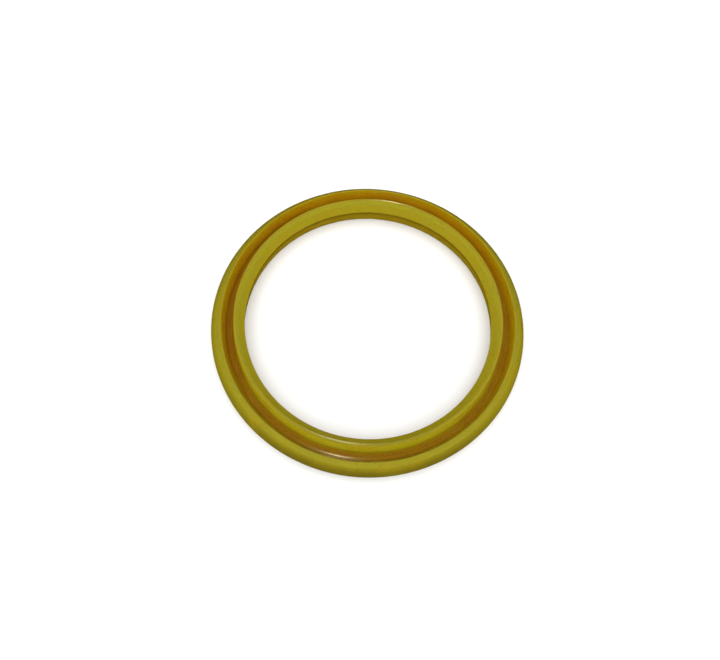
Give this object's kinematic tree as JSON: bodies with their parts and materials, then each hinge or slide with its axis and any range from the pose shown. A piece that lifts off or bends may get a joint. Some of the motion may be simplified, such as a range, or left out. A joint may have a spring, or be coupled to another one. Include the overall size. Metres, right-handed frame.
{
  "type": "u cup seal",
  "caption": "Moulded polyurethane ring seal for a rod: solid flat heel, two flared lips and a deep round-bottomed groove between them.",
  "frame": {"origin": "on the ring's axis, in the plane of the heel's flat face, which is what it rests on", "axes": "+Z along the ring's axis, from the heel to the groove's mouth; X and Y in the heel's plane"},
  "size_m": [0.1018, 0.1018, 0.01],
  "materials": {
    "polyurethane": "moulded polyurethane, amber yellow, slightly see-through, semi-gloss with fine turned streaks on the lip lands"
  },
  "bodies": {
    "root": {"seal_ring": "polyurethane"}
  },
  "joints": []
}
